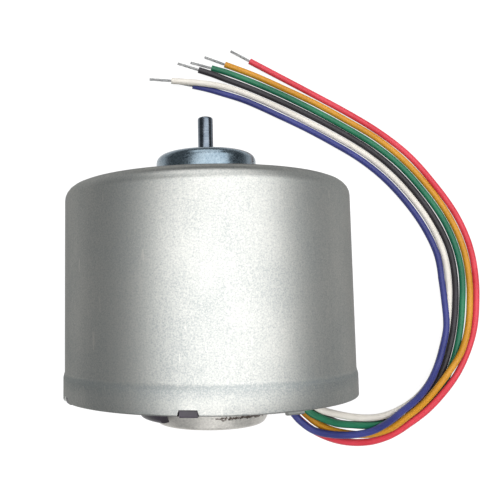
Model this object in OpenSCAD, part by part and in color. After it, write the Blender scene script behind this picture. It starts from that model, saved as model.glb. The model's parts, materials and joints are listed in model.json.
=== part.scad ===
// Brushless motor in a drawn steel can, with its driver board inside and six free leads.
// The shaft lies along Y with its output end towards +Y, Z is up, and the motor lies on its side.
// The origin is on the shaft axis, in the plane of the can's front face.
// Each piece is drawn with the shaft along Z, and lying() lays it down.

/* [Can] */
// Outer diameter of the can
can_d = 42; // [41:0.5:44]
// Length of the can, from its front face to its rim
can_len = 30.2; // [30:0.2:33]
// Thickness of the can's sheet
sheet_t = 0.8; // [0.6:0.1:1]
// Outer radius of the shoulder round the front face
shoulder_r = 2.1; // [1.2:0.1:3]
// Length of the sized band at the rim
band_len = 3.8; // [3:0.2:6]
// How far the band stands out from the can
band_rise = 0.2; // [0.1:0.05:0.3]
// Width of a notch in the rim
notch_w = 2.3; // [1.5:0.1:4]
// Depth of a notch in the rim
notch_depth = 0.75; // [0.5:0.05:1.2]
// Angle of the first notch, from straight up towards +X
notch_angle = -8.5; // [-20:0.5:10]
// Angle from the first notch to its neighbour
notch_pitch = 60; // [40:1:80]
// How far the rim's small tongue stands out
tongue_reach = 0.4; // [0.2:0.05:0.6]

/* [Front mount] */
// Diameter of the pilot boss
boss_d = 15; // [14.6:0.2:18]
// Height of the pilot boss over the front face
boss_h = 5; // [4.4:0.2:6]
// Radius of the pilot boss's front edge
boss_edge_r = 0.8; // [0.3:0.1:1.2]
// Thickness of the lip in front of the bearing
lip_t = 1.6; // [1:0.1:2]
// Diameter of the hole in that lip
lip_hole_d = 5.2; // [4.6:0.1:6]
// How far the spigot in the can's hole stands out past the boss
spigot_step = 0.3; // [0.2:0.05:0.5]
// Diameter of the backing plate behind the front face
plate_d = 31; // [30:0.5:33]
// Thickness of the backing plate
plate_t = 2; // [1.6:0.1:2.4]
// Number of tapped mounting holes
mount_holes = 4; // [2:1:4]
// Diameter of the circle through the mounting holes
mount_pcd = 25; // [22:0.5:27]
// Core diameter of the mounting thread
tap_d = 2.5; // [2:0.1:2.5]
// Diameter of the clearance holes in the can's face
clear_hole_d = 3.2; // [3:0.1:3.6]

/* [Bearings] */
// Bore of both bearings, which is the shaft's full diameter
bearing_bore = 4; // [3.6:0.1:4.2]
// Outer diameter of both bearings
bearing_d = 12; // [11.6:0.1:12.4]
// Width of both bearings
bearing_w = 4; // [3.8:0.1:4.2]
// Diameter of a ball
ball_d = 2; // [1.8:0.1:2.2]
// Number of balls in a bearing
ball_count = 7; // [6:1:8]

/* [Shaft] */
// Diameter of the output end
output_d = 2.3; // [1.5:0.1:3]
// Reach of the output end from the can's front face
output_reach = 11; // [8:0.5:16]

/* [Rotor] */
// Thickness of the ring magnet
magnet_t = 2.2; // [1.6:0.1:2.8]
// Gap between the magnet and the stator's teeth
air_gap = 0.5; // [0.3:0.05:0.7]

/* [Stator] */
// Length of the lamination stack
stack_len = 12; // [11:0.2:12.4]
// Number of teeth, three for each group of phases
teeth = 9; // [9:3:9]
// Radius of the stator's bore, as a share of the can's inner radius
bore_share = 0.52; // [0.5:0.01:0.54]
// Width of the yoke, as a share of the can's inner radius
yoke_share = 0.139; // [0.12:0.001:0.148]
// Width of a tooth, as a share of the can's inner radius
tooth_share = 0.168; // [0.14:0.001:0.178]
// Thickness of the winding on each side of a tooth, as a share of the can's inner radius
coil_share = 0.089; // [0.06:0.001:0.094]
// Thickness of a tooth's shoe
shoe_t = 1.2; // [0.8:0.1:1.4]
// Width of the mouth between two shoes
mouth_w = 2.2; // [1.6:0.1:3]

/* [Driver board] */
// Thickness of the board
board_t = 1; // [0.8:0.1:1.2]
// Gap between the winding heads and the board
board_gap = 1; // [0.8:0.1:1.2]

/* [Rear cover] */
// How far the cover's floor lies inside the rim
cover_recess = 1.4; // [1:0.1:1.8]
// Thickness of the cover's floor
cover_t = 1.6; // [1.2:0.1:1.8]
// How far the cover's wall stands out of the rim
cover_proud = 0.2; // [0.1:0.05:0.4]
// Diameter of the bearing cup where it leaves the cover
cup_d = 19.6; // [18:0.2:20]
// Diameter of the cup's rounded end
cup_end_d = 15.4; // [14.8:0.2:16.4]
// Reach of the cup from the rim
cup_reach = 4.1; // [3.8:0.1:4.6]
// Radius of the cup's rounded edge
cup_edge_r = 1.05; // [0.6:0.05:1.4]
// Angle that the plastic collar takes round the cup
collar_angle = 94; // [60:2:120]

/* [Leads] */
// Diameter of a lead over its insulation
lead_d = 1.1; // [0.9:0.05:1.1]
// Diameter of the tinned strands
strand_d = 0.56; // [0.4:0.02:0.6]
// Length of the bare tinned end
tip_len = 4; // [2:0.5:6]

/* [Hidden] */
$fn = 96;
overrun = 1;

// Can
can_r = can_d / 2;
can_in_r = can_r - sheet_t;
band_r = can_r + band_rise;
rim_z = -can_len;
notch_angles = [notch_angle, notch_angle - notch_pitch, notch_angle + 180, notch_angle + 180 - notch_pitch];
tongue_w = 2.4;
tongue_angle = 28;
tongue_inset = 0.1;

// Front mount
boss_r = boss_d / 2;
spigot_r = boss_r + spigot_step;
plate_back_z = -sheet_t - plate_t;
stake_t = 0.3;
stake_w = 0.35;
lip_z = boss_h - lip_t;

// Bearings
bearing_r = bearing_d / 2;
shaft_r = bearing_bore / 2;
pitch_r = (bearing_r + shaft_r) / 2;
ball_r = ball_d / 2;
groove_gap = 0.03;
race_lip = 0.65;
cage_half = 0.45;
cage_len = 2.6;
pocket_gap = 0.05;
shield_t = 0.25;
shield_seat = 0.3;
shield_grip = 0.35;
shield_gap = 0.1;
front_bearing_z = lip_z - bearing_w / 2;

// Shaft and rotor
tip_bevel = 0.3;
tail_bevel = 0.2;
tail_inset = 0.1;
output_r = output_d / 2;
spacer_r = 3.1;
bore_r = can_in_r * bore_share;
magnet_r = bore_r - air_gap;
core_r = magnet_r - magnet_t;
core_hole_share = 0.19;
core_hole_r = (core_r - shaft_r) * core_hole_share;
core_hole_circle_r = (core_r + shaft_r) / 2;
core_holes = 6;
magnet_front_over = 0.5;
magnet_rear_over = 1.5;

// Stator
liner_t = 0.4;
end_plate_t = 0.8;
flange_t = 0.5;
flange_share = 0.9;
coil_seat_gap = 0.2;
tooth_w = can_in_r * tooth_share;
coil_t = can_in_r * coil_share;
flange_w = (tooth_w + 2 * liner_t + 2 * coil_t) * flange_share;
head_h = end_plate_t + coil_t;
head_gap = 1.2;
stator_angle = 10;
shoe_r = bore_r + shoe_t;
yoke_w = can_in_r * yoke_share;
yoke_in_r = can_in_r - yoke_w;
coil_in_r = shoe_r + flange_t;
coil_out_r = yoke_in_r - coil_seat_gap - flange_t;
stack_front_z = plate_back_z - head_gap - head_h;
stack_mid_z = stack_front_z - stack_len / 2;
stack_back_z = stack_front_z - stack_len;
tooth_step = 360 / teeth;
shoe_half_angle = tooth_step / 2 - asin(mouth_w / 2 / bore_r);
posts = 3;
post_r = 1.2;
pin_post_r = 0.8;
pin_post_h = 1.5;
pin_r = 0.3;
pin_over = 0.6;

// Wall of the rear cover, which the board and the formers fit in
wall_gap = 0.1;
cover_wall = 1;
cover_r = can_in_r - wall_gap;
cover_in_r = cover_r - cover_wall;

// Driver board
board_front_z = stack_back_z - head_h - board_gap;
board_back_z = board_front_z - board_t;
board_hole_r = 4.5;
hole_gap = 0.1;
board_wall_gap = 0.4;
board_r = cover_in_r - board_wall_gap;
screw_r = 0.5;
screw_depth = 2.4;
screw_head_r = 1;
screw_head_h = 0.7;
hall_w = 4;
hall_len = 3;
hall_h = 1.5;
hall_inset = 1;
chip_w = 6;
chip_h = 0.9;
chip_reach_share = 0.59;
chip_angle = 180;
transistor_w = 5;
transistor_len = 6;
transistor_h = 1;
transistor_reach_share = 0.67;
transistor_angles = [88, 130, 235];
ceramic_w = 2;
ceramic_len = 1.2;
ceramic_h = 1.2;
ceramic_reach_share = 0.4;
ceramic_angles = [60, 100, 140, 220, 260, 300];
filter_r = 2;
filter_h = 3;
filter_base_w = 4.3;
filter_base_h = 0.5;
filter_neck_r = 1.8;
filter_neck_h = 0.4;
filter_reach_share = 0.82;
filter_angle = 330;
sense_w = 6.4;
sense_len = 3.2;
sense_h = 0.6;
sense_reach_share = 0.64;
sense_angle = 285;
solder_r = 0.62;
solder_h = 1.2;

// Rear cover and bearing cup
floor_back_z = rim_z + cover_recess;
floor_front_z = floor_back_z + cover_t;
cover_back_z = rim_z - cover_proud;
tab_gap = 0.05;
tab_inset = 0.25;
cup_r = cup_d / 2;
cup_end_z = rim_z - cup_reach;
cup_end_t = 0.8;
cup_flange_r = 12.8;
cup_flange_t = 0.9;
cup_flange_z = floor_front_z + cup_flange_t;
washer_t = 0.3;
washer_in_r = 4.3;
washer_gap = 0.2;
rear_bearing_z = cup_end_z + cup_end_t + washer_t + bearing_w / 2;
collar_wall = 0.6;
collar_edge_r = 0.8;
collar_inset = 1;
collar_gap = 0.1;
collar_mid_angle = 180;
stakes = 3;
stake_angle = 80;
stake_circle_r = 11.4;
stake_r = 0.7;
stake_head_r = 1.2;
stake_head_h = 0.6;

// Leads. The grid of their holes lies under the shaft axis, towards +X.
lead_r = lead_d / 2;
strand_r = strand_d / 2;
lead_sides = 8;
grid_cup_gap = 3.2;
grid_x = cup_r + grid_cup_gap;
grid_y = 4.65;
grid_step_x = 1.6;
grid_step_y = 1.3;
grid = [for (i = [-1, 0, 1], j = [-1, 1]) [grid_x + i * grid_step_x, grid_y + j * grid_step_y / 2]];
grommet_wall = 0.5;
grommet_lip = 0.6;
grommet_out_t = 0.8;
grommet_in_t = 0.6;
grommet_w = 2 * (grid_step_x + lead_r + grommet_wall);
grommet_h = grid_step_y + 2 * (lead_r + grommet_wall);
window_gap = 0.3;

// The surface that the leads lie on, and the height of a lead's centre there
rest_z = -20.65;
// Each route starts at the board, leaves the grommet at its third point and ends at the strands.
red_route = [[11.4, -24.4, -5.3], [11.4, -27, -5.3], [11.4, -29.6, -5.3], [11.4, -30.4, -5.3],
  [11.7, -31.9, -5.4], [12.3, -33.4, -5.5], [13.3, -34.7, -5.8], [14.4, -35.8, -6.1],
  [16.1, -37.1, -6.6], [18.8, -38.5, -7.7], [22.1, -39.5, -9.3], [25.9, -39.8, -11],
  [29.7, -39.2, -12.8], [33.2, -37.8, -14.5], [37, -35.9, -16.4], [40.4, -33.4, -18],
  [43.6, -30.5, -19.8], [45.9, -26.9, -20.5], [47.5, -22.6, -20.65], [48.2, -17.8, -20.65],
  [48.3, -12.8, -20.65], [47.5, -7.4, -20.65], [45.3, -1.8, -20.65], [41.8, 3.6, -20.65],
  [37.6, 8.8, -20.65], [32.6, 13.1, -20.65], [27.2, 16.7, -20.65], [21.4, 20.1, -20.65],
  [15.6, 23.4, -20.65], [8.9, 27.2, -20.65]];
yellow_route = [[13, -24.4, -5.3], [13, -27, -5.3], [13, -29.6, -5.3], [13, -30.4, -5.3],
  [13.2, -31.7, -5.4], [13.7, -32.9, -5.5], [14.4, -34, -5.8], [15.3, -34.9, -6.1],
  [16.8, -36.1, -6.6], [19.2, -37.3, -7.7], [22.4, -38.2, -9.2], [26, -38.6, -10.8],
  [29.7, -38, -12.4], [32.8, -36.6, -14.1], [36.2, -34.9, -16.2], [39.3, -32.6, -17.9],
  [42.1, -29.8, -19], [44.6, -26.5, -19.5], [46.3, -22.4, -20.3], [47, -17.7, -20.5],
  [47.1, -12.9, -20.6], [46.3, -7.7, -20.65], [44.1, -2.2, -20.65], [40.8, 3, -20.65],
  [36.6, 8, -20.65], [31.8, 12.2, -20.65], [26.5, 15.6, -20.65], [20.9, 18.9, -20.65],
  [15.2, 21.8, -20.65],
  [9.6, 24.5, -20.65], [4.3, 26.65, -20.65]];
green_route = [[13, -24.4, -4], [13, -27, -4], [13, -29.6, -4], [13, -30.4, -4],
  [13.3, -31.7, -4.1], [14, -32.8, -4.3], [14.9, -33.7, -4.6], [16, -34.5, -4.9],
  [19.4, -36, -6.5], [22.3, -36.6, -8.1], [25.6, -37.2, -10.5], [29.1, -37.4, -13.2],
  [33.1, -37.2, -15.9], [37, -35.8, -17.7], [40.3, -33.3, -19.4], [42.6, -30.1, -20.5],
  [44.1, -26.4, -20.65], [45.1, -22.3, -20.65], [45.7, -17.7, -20.65], [45.9, -13, -20.65],
  [45.1, -8, -20.65], [43, -2.7, -20.65], [39.7, 2.4, -20.65], [35.7, 7.2, -20.65],
  [31, 11.2, -20.65], [25.9, 14.5, -20.65], [20.4, 17.7, -20.65], [14.7, 20.7, -20.65],
  [9.2, 23.25, -20.65], [4.8, 25.05, -20.65], [1.8, 26, -20.65]];
black_route = [[14.6, -24.4, -5.3], [14.6, -27, -5.3], [14.6, -29.6, -5.3], [14.6, -30.4, -5.3],
  [14.8, -31.5, -5.4], [15.2, -32.6, -5.6], [15.9, -33.6, -6], [16.7, -34.3, -6.4],
  [19.6, -36, -7.9], [22.4, -36.8, -9.7], [25.8, -37.1, -12.2], [29, -36.7, -14.3],
  [32.4, -36, -15.9], [36.1, -34.7, -17.8], [39.3, -32.6, -19.4], [41.5, -29.6, -20.4],
  [42.9, -26.1, -20.65], [43.9, -22.1, -20.65], [44.5, -17.6, -20.65], [44.6, -13.1, -20.65],
  [43.9, -8.3, -20.65], [41.8, -3.2, -20.65], [38.6, 1.8, -20.65], [34.7, 6.4, -20.65],
  [30.2, 10.3, -20.65], [25.3, 13.5, -20.65], [19.9, 16.6, -20.65], [14.3, 19.5, -20.65],
  [8.8, 22.05, -20.65], [4.6, 23.7, -20.55], [2, 24.65, -20.2],
  [-0.6, 25.45, -19.9]];
white_route = [[14.6, -24.4, -4], [14.6, -27, -4], [14.6, -29.6, -4], [14.6, -30.4, -4],
  [14.8, -31.6, -4.1], [15.5, -32.6, -4.4], [16.5, -33.4, -4.8], [17.7, -34, -5.3],
  [19.9, -34.7, -6.5], [22.5, -35.4, -8.1], [25.6, -36, -10.5], [28.7, -36.1, -12.8],
  [31.9, -35.4, -14.6], [35.2, -34, -16.6], [38.1, -31.9, -18.5], [40.4, -29.1, -20.3],
  [41.7, -25.8, -20.65], [42.7, -22, -20.65], [43.3, -17.6, -20.65], [43.4, -13.3, -20.65],
  [42.7, -8.6, -20.65], [40.7, -3.6, -20.65], [37.6, 1.2, -20.65], [33.8, 5.6, -20.65],
  [29.4, 9.4, -20.65], [24.7, 12.4, -20.65], [19.4, 15.4, -20.65], [13.9, 18.3, -20.65],
  [8.5, 20.8, -20.6], [4.3, 22.15, -20.1], [0.2, 22.8, -19.6],
  [-2.8, 23.1, -19.5], [-5.6, 23.35, -19.5]];
blue_route = [[11.4, -24.4, -4], [11.4, -27, -4], [11.4, -29.6, -4], [11.4, -30.4, -4],
  [11.6, -31.9, -4.1], [12.2, -33.3, -4.2], [13.1, -34.6, -4.5], [14.2, -35.7, -4.7],
  [16, -36.9, -5.2], [18.8, -37.7, -6.3], [22.2, -38.1, -7.8], [25.7, -37.9, -9.4],
  [28.9, -36.9, -11.2], [31.8, -35.5, -13.1], [34.9, -33.9, -15.1], [37.7, -31.7, -17],
  [39.9, -29, -18.8], [41.3, -25.8, -19.4], [42.2, -21.9, -19.4], [42.2, -17.6, -19.7],
  [42.2, -13.4, -20.65], [41.6, -9, -20.65], [39.5, -4.1, -20.65], [36.5, 0.5, -20.65],
  [32.8, 4.8, -20.65], [28.6, 8.4, -20.65], [24.1, 11.3, -20.65], [18.9, 14.3, -20.65],
  [13.5, 17.05, -20.65],
  [8.2, 19.6, -20.65], [4.1, 21.05, -20.65], [0.8, 22.1, -20.65],
  [-1.7, 22.7, -20.65]];

// Lays a piece down: the shaft's output end turns to +Y, and the side drawn at -Y turns up.
module lying() rotate([-90, 0, 0]) children();

// Turns a piece drawn at -Y, the top of the lying motor, by an angle towards +X.
module round_from_top(angle) rotate([0, 0, angle]) children();

// Places a piece drawn along X at a distance from the shaft, turned by an angle from +X.
module at_polar(angle, reach) rotate([0, 0, angle]) translate([reach, 0, 0]) children();

module ring_tube(outer_r, inner_r, from_z, to_z) {
  translate([0, 0, min(from_z, to_z)]) linear_extrude(abs(to_z - from_z)) difference() {
    circle(outer_r);
    circle(inner_r);
  }
}

module block(len_x, len_y, from_z, to_z) {
  translate([-len_x / 2, -len_y / 2, min(from_z, to_z)]) cube([len_x, len_y, abs(to_z - from_z)]);
}

module slot_outline(len_x, len_y) {
  reach = (len_x - len_y) / 2;
  square([2 * reach, len_y], center = true);
  for (side = [-reach, reach]) translate([side, 0]) circle(len_y / 2);
}

module rounded_outline(len_x, len_y, radius) {
  square([len_x - 2 * radius, len_y], center = true);
  square([len_x, len_y - 2 * radius], center = true);
  for (x = [-1, 1], y = [-1, 1])
    translate([x * (len_x / 2 - radius), y * (len_y / 2 - radius)]) circle(radius);
}

// Half section of a can's shell, open at the rim, with a round shoulder.
module shell_section(outer_r, shoulder, front_z, back_z) {
  translate([0, back_z]) square([outer_r, front_z - shoulder - back_z]);
  translate([0, back_z]) square([outer_r - shoulder, front_z - back_z]);
  translate([outer_r - shoulder, front_z - shoulder]) circle(shoulder);
}

module half_plane() {
  translate([0, -2 * can_len]) square([2 * can_d, 4 * can_len]);
}

// A small tongue of the can's sheet that stands out of the rim.
module rim_tongue() {
  span = 2 * asin(tongue_w / 2 / can_r);
  round_from_top(tongue_angle) rotate([0, 0, -90 - span / 2]) rotate_extrude(angle = span)
    translate([can_in_r + tongue_inset, rim_z - tongue_reach])
      square([sheet_t - tongue_inset, tongue_reach + sheet_t]);
}

module can() {
  color("#b8b9b4") lying() difference() {
    union() {
      rotate_extrude() intersection() {
        half_plane();
        difference() {
          union() {
            shell_section(can_r, shoulder_r, 0, rim_z);
            translate([0, rim_z]) square([band_r, band_len]);
          }
          shell_section(can_in_r, max(shoulder_r - sheet_t, sheet_t / 2), -sheet_t, rim_z - overrun);
        }
      }
      rim_tongue();
    }
    translate([0, 0, -sheet_t - overrun]) cylinder(r = spigot_r, h = sheet_t + 2 * overrun);
    for (i = [0 : mount_holes - 1]) at_polar(45 + i * 360 / mount_holes, mount_pcd / 2)
      translate([0, 0, -sheet_t - overrun]) cylinder(d = clear_hole_d, h = sheet_t + 2 * overrun);
    for (angle = notch_angles) round_from_top(angle)
      translate([-notch_w / 2, -band_r - overrun, rim_z - overrun])
        cube([notch_w, 2 * sheet_t + overrun, notch_depth + overrun]);
  }
}

module front_bearing_housing() {
  color("#9fb0bf") lying() rotate_extrude() difference() {
    union() {
      square([boss_r - boss_edge_r, boss_h]);
      square([boss_r, boss_h - boss_edge_r]);
      intersection() {
        translate([boss_r - boss_edge_r, boss_h - boss_edge_r]) circle(boss_edge_r);
        translate([0, 0]) square([boss_r, boss_h]);
      }
      translate([0, plate_back_z]) square([spigot_r, -plate_back_z]);
      translate([0, plate_back_z - stake_t]) square([spigot_r + stake_w, stake_t]);
    }
    translate([0, plate_back_z - stake_t - overrun])
      square([bearing_r, lip_z - plate_back_z + stake_t + overrun]);
    square([lip_hole_d / 2, boss_h + overrun]);
  }
}

module front_backing_plate() {
  color("#8f9498") lying() difference() {
    ring_tube(plate_d / 2, spigot_r, plate_back_z, -sheet_t);
    for (i = [0 : mount_holes - 1]) at_polar(45 + i * 360 / mount_holes, mount_pcd / 2)
      translate([0, 0, plate_back_z - overrun]) cylinder(d = tap_d, h = plate_t + 2 * overrun);
  }
}

module outer_race(mid_z) {
  color("#c9cdd0") lying() translate([0, 0, mid_z]) rotate_extrude() difference() {
    translate([pitch_r + race_lip, -bearing_w / 2]) square([bearing_r - pitch_r - race_lip, bearing_w]);
    translate([pitch_r, 0]) circle(ball_r + groove_gap);
    for (side = [-1, 1]) translate([pitch_r, side * bearing_w / 2 - shield_seat])
      square([race_lip + shield_grip, 2 * shield_seat]);
  }
}

module inner_race(mid_z) {
  color("#c9cdd0") lying() translate([0, 0, mid_z]) rotate_extrude() difference() {
    translate([shaft_r, -bearing_w / 2]) square([pitch_r - race_lip - shaft_r, bearing_w]);
    translate([pitch_r, 0]) circle(ball_r + groove_gap);
  }
}

module balls(mid_z) {
  color("#dfe3e6") lying() translate([0, 0, mid_z])
    for (i = [0 : ball_count - 1]) at_polar(i * 360 / ball_count, pitch_r) sphere(r = ball_r);
}

module ball_cage(mid_z) {
  color("#b98f4a") lying() translate([0, 0, mid_z]) difference() {
    ring_tube(pitch_r + cage_half, pitch_r - cage_half, -cage_len / 2, cage_len / 2);
    for (i = [0 : ball_count - 1]) at_polar(i * 360 / ball_count, pitch_r - ball_r)
      rotate([0, 90, 0]) cylinder(r = ball_r + pocket_gap, h = ball_d);
  }
}

module shields(mid_z) {
  color("#a9adb0") lying() translate([0, 0, mid_z]) for (side = [-1, 1]) {
    seat_z = side * (bearing_w / 2 - shield_seat);
    outer_r = pitch_r + race_lip + shield_grip;
    ring_tube(outer_r, pitch_r - race_lip + shield_gap, seat_z, seat_z + side * shield_t);
  }
}

module front_outer_race() outer_race(front_bearing_z);
module front_inner_race() inner_race(front_bearing_z);
module front_balls() balls(front_bearing_z);
module front_ball_cage() ball_cage(front_bearing_z);
module front_shields() shields(front_bearing_z);
module rear_outer_race() outer_race(rear_bearing_z);
module rear_inner_race() inner_race(rear_bearing_z);
module rear_balls() balls(rear_bearing_z);
module rear_ball_cage() ball_cage(rear_bearing_z);
module rear_shields() shields(rear_bearing_z);

module shaft() {
  tail_z = rear_bearing_z - bearing_w / 2 + tail_inset;
  color("#8d9298") lying() rotate_extrude() polygon([
    [0, tail_z], [shaft_r - tail_bevel, tail_z], [shaft_r, tail_z + tail_bevel],
    [shaft_r, boss_h - tail_bevel], [shaft_r - tail_bevel, boss_h], [output_r, boss_h],
    [output_r, output_reach - tip_bevel], [output_r - tip_bevel, output_reach], [0, output_reach]]);
}

module front_spacer() {
  color("#c8a45a") lying() ring_tube(spacer_r, shaft_r, stack_front_z, front_bearing_z - bearing_w / 2);
}

module rear_spacer() {
  color("#c8a45a") lying() ring_tube(spacer_r, shaft_r, rear_bearing_z + bearing_w / 2, stack_back_z);
}

module rotor_core() {
  color("#7b7f83") lying() difference() {
    ring_tube(core_r, shaft_r, stack_back_z, stack_front_z);
    for (i = [0 : core_holes - 1]) at_polar(i * 360 / core_holes, core_hole_circle_r)
      translate([0, 0, stack_back_z - overrun]) cylinder(r = core_hole_r, h = stack_len + 2 * overrun);
  }
}

module ring_magnet() {
  color("#3c3f43") lying()
    ring_tube(magnet_r, core_r, stack_back_z - magnet_rear_over, stack_front_z + magnet_front_over);
}

module tooth_wedge() {
  reach = shoe_r + shoe_t;
  side = reach * tan(shoe_half_angle);
  polygon([[0, 0], [reach, -side], [reach, side]]);
}

module lamination() {
  difference() {
    circle(can_in_r);
    circle(yoke_in_r);
  }
  for (i = [0 : teeth - 1]) rotate(i * tooth_step + stator_angle) {
    difference() {
      translate([0, -tooth_w / 2]) square([yoke_in_r + yoke_w / 2, tooth_w]);
      circle(bore_r);
    }
    intersection() {
      difference() {
        circle(shoe_r);
        circle(bore_r);
      }
      tooth_wedge();
    }
  }
}

module stator_core() {
  color("#6f7478") lying() translate([0, 0, stack_back_z]) linear_extrude(stack_len) lamination();
}

// One moulded end of the coil formers, drawn from the stack's face at 0 outwards along Z.
module insulator_end() {
  linear_extrude(end_plate_t) {
    difference() {
      circle(cover_in_r - wall_gap);
      circle(yoke_in_r);
    }
    for (i = [0 : teeth - 1]) rotate(i * tooth_step + stator_angle)
      translate([bore_r + shoe_t / 4, -tooth_w / 2 - liner_t])
        square([yoke_in_r - bore_r, tooth_w + 2 * liner_t]);
  }
  for (i = [0 : teeth - 1]) at_polar(i * tooth_step + stator_angle, 0) {
    for (reach = [shoe_r, coil_out_r]) translate([reach, -flange_w / 2, 0])
      cube([flange_t, flange_w, head_h]);
    for (side = [-1, 1]) translate([shoe_r, side * (tooth_w + liner_t) / 2 - liner_t / 2, -stack_len / 2])
      cube([coil_out_r + flange_t - shoe_r, liner_t, stack_len / 2]);
  }
}

module front_insulator() {
  color("#e6e0cf") lying() translate([0, 0, stack_front_z]) insulator_end();
}

post_circle_r = cover_in_r - 2 * wall_gap - post_r;
post_top_z = stack_back_z - end_plate_t / 2;

// Angle of a gap between two teeth, where the posts and pins stand.
function gap_angle(i) = stator_angle + tooth_step * (3 * i + 1.5);
function pin_angle(i) = stator_angle + tooth_step * (3 * i + 0.5);

module rear_insulator() {
  color("#e6e0cf") lying() difference() {
    union() {
      translate([0, 0, stack_back_z]) mirror([0, 0, 1]) insulator_end();
      for (i = [0 : posts - 1]) {
        at_polar(gap_angle(i), post_circle_r)
          translate([0, 0, board_front_z]) cylinder(r = post_r, h = post_top_z - board_front_z);
        at_polar(pin_angle(i), post_circle_r)
          translate([0, 0, post_top_z - pin_post_h]) cylinder(r = pin_post_r, h = pin_post_h);
      }
    }
    for (i = [0 : posts - 1]) {
      at_polar(gap_angle(i), post_circle_r)
        translate([0, 0, board_front_z - overrun]) cylinder(r = screw_r, h = screw_depth + overrun);
      at_polar(pin_angle(i), post_circle_r)
        translate([0, 0, board_front_z - overrun])
          cylinder(r = pin_r, h = post_top_z - board_front_z + overrun);
    }
  }
}

module coil() {
  inner_w = tooth_w + 2 * liner_t;
  inner_len = stack_len + 2 * end_plate_t;
  translate([coil_in_r, 0, stack_mid_z]) rotate([90, 0, 90])
    linear_extrude(coil_out_r - coil_in_r) difference() {
      rounded_outline(inner_w + 2 * coil_t, inner_len + 2 * coil_t, coil_t);
      square([inner_w, inner_len], center = true);
    }
}

module phase_coils(first) {
  color("#b5622c") lying() for (i = [first : 3 : teeth - 1])
    at_polar(i * tooth_step + stator_angle, 0) coil();
}

module phase_u_coils() phase_coils(0);
module phase_v_coils() phase_coils(1);
module phase_w_coils() phase_coils(2);

module phase_pins() {
  color("#d8d8d4") lying() for (i = [0 : posts - 1]) at_polar(pin_angle(i), post_circle_r)
    translate([0, 0, board_back_z - pin_over])
      cylinder(r = pin_r, h = post_top_z - board_back_z + pin_over);
}

module driver_board() {
  color("#1f6b45") lying() difference() {
    ring_tube(board_r, board_hole_r, board_back_z, board_front_z);
    for (i = [0 : posts - 1]) {
      at_polar(gap_angle(i), post_circle_r) translate([0, 0, board_back_z - overrun])
        cylinder(r = screw_r + hole_gap, h = board_t + 2 * overrun);
      at_polar(pin_angle(i), post_circle_r) translate([0, 0, board_back_z - overrun])
        cylinder(r = pin_r, h = board_t + 2 * overrun);
    }
    for (place = grid) translate([place.x, place.y, board_back_z - overrun])
      cylinder(r = strand_r, h = board_t + 2 * overrun);
  }
}

module board_screws() {
  color("#c2c5c8") lying() for (i = [0 : posts - 1]) at_polar(gap_angle(i), post_circle_r) {
    translate([0, 0, board_back_z]) cylinder(r = screw_r, h = board_t + screw_depth);
    translate([0, 0, board_back_z - screw_head_h]) cylinder(r = screw_head_r, h = screw_head_h);
  }
}

module hall_sensors() {
  color("#26272a") lying() for (i = [-1, 0, 1]) at_polar(270 + i * tooth_step, magnet_r - hall_inset)
    block(hall_len, hall_w, board_front_z, board_front_z + hall_h);
}

module driver_chip() {
  color("#202124") lying() at_polar(chip_angle, board_r * chip_reach_share)
    block(chip_w, chip_w, board_back_z - chip_h, board_back_z);
}

module power_transistors() {
  color("#2b2c30") lying() for (angle = transistor_angles)
    at_polar(angle, board_r * transistor_reach_share)
      block(transistor_len, transistor_w, board_back_z - transistor_h, board_back_z);
}

module ceramic_capacitors() {
  color("#a98a5e") lying() for (angle = ceramic_angles)
    at_polar(angle, board_r * ceramic_reach_share)
      block(ceramic_len, ceramic_w, board_back_z - ceramic_h, board_back_z);
}

module filter_capacitor() {
  color("#c4c7cb") lying() at_polar(filter_angle, board_r * filter_reach_share) {
    block(filter_base_w, filter_base_w, board_back_z - filter_base_h, board_back_z);
    translate([0, 0, board_back_z - filter_base_h - filter_neck_h])
      cylinder(r = filter_neck_r, h = filter_neck_h);
    translate([0, 0, board_back_z - filter_base_h - filter_h])
      cylinder(r = filter_r, h = filter_h - filter_neck_h);
  }
}

module sense_resistor() {
  color("#35363a") lying() at_polar(sense_angle, board_r * sense_reach_share)
    block(sense_len, sense_w, board_back_z - sense_h, board_back_z);
}

module solder_joints() {
  color("#cfd2d4") lying() for (place = grid) translate([place.x, place.y, 0]) {
    translate([0, 0, board_back_z - solder_h]) cylinder(r1 = strand_r, r2 = solder_r, h = solder_h);
    translate([0, 0, board_back_z]) cylinder(r = strand_r, h = board_t);
  }
}

module grommet_outline(extra) {
  translate([grid_x, grid_y]) slot_outline(grommet_w + 2 * extra, grommet_h + 2 * extra);
}

// Half section of the bearing cup's outside. Its cone meets the rounded edge at a tangent.
cup_edge = [cup_end_d / 2 - cup_edge_r, cup_end_z + cup_edge_r];
cup_base = [cup_r, cover_back_z];
cup_lean = cup_base - cup_edge;
cup_tangent_angle = atan2(cup_lean.y, cup_lean.x) - acos(cup_edge_r / norm(cup_lean));
cup_tangent = cup_edge + cup_edge_r * [cos(cup_tangent_angle), sin(cup_tangent_angle)];

module cup_section() {
  polygon([[0, cup_end_z], [cup_edge.x, cup_end_z], cup_edge, cup_tangent, cup_base, [0, cover_back_z]]);
  intersection() {
    translate(cup_edge) circle(cup_edge_r);
    translate([0, cup_end_z]) square([cup_r, cup_reach]);
  }
  translate([0, cover_back_z]) square([cup_r, floor_front_z - cover_back_z]);
  translate([0, floor_front_z]) square([cup_flange_r, cup_flange_t]);
}

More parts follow.
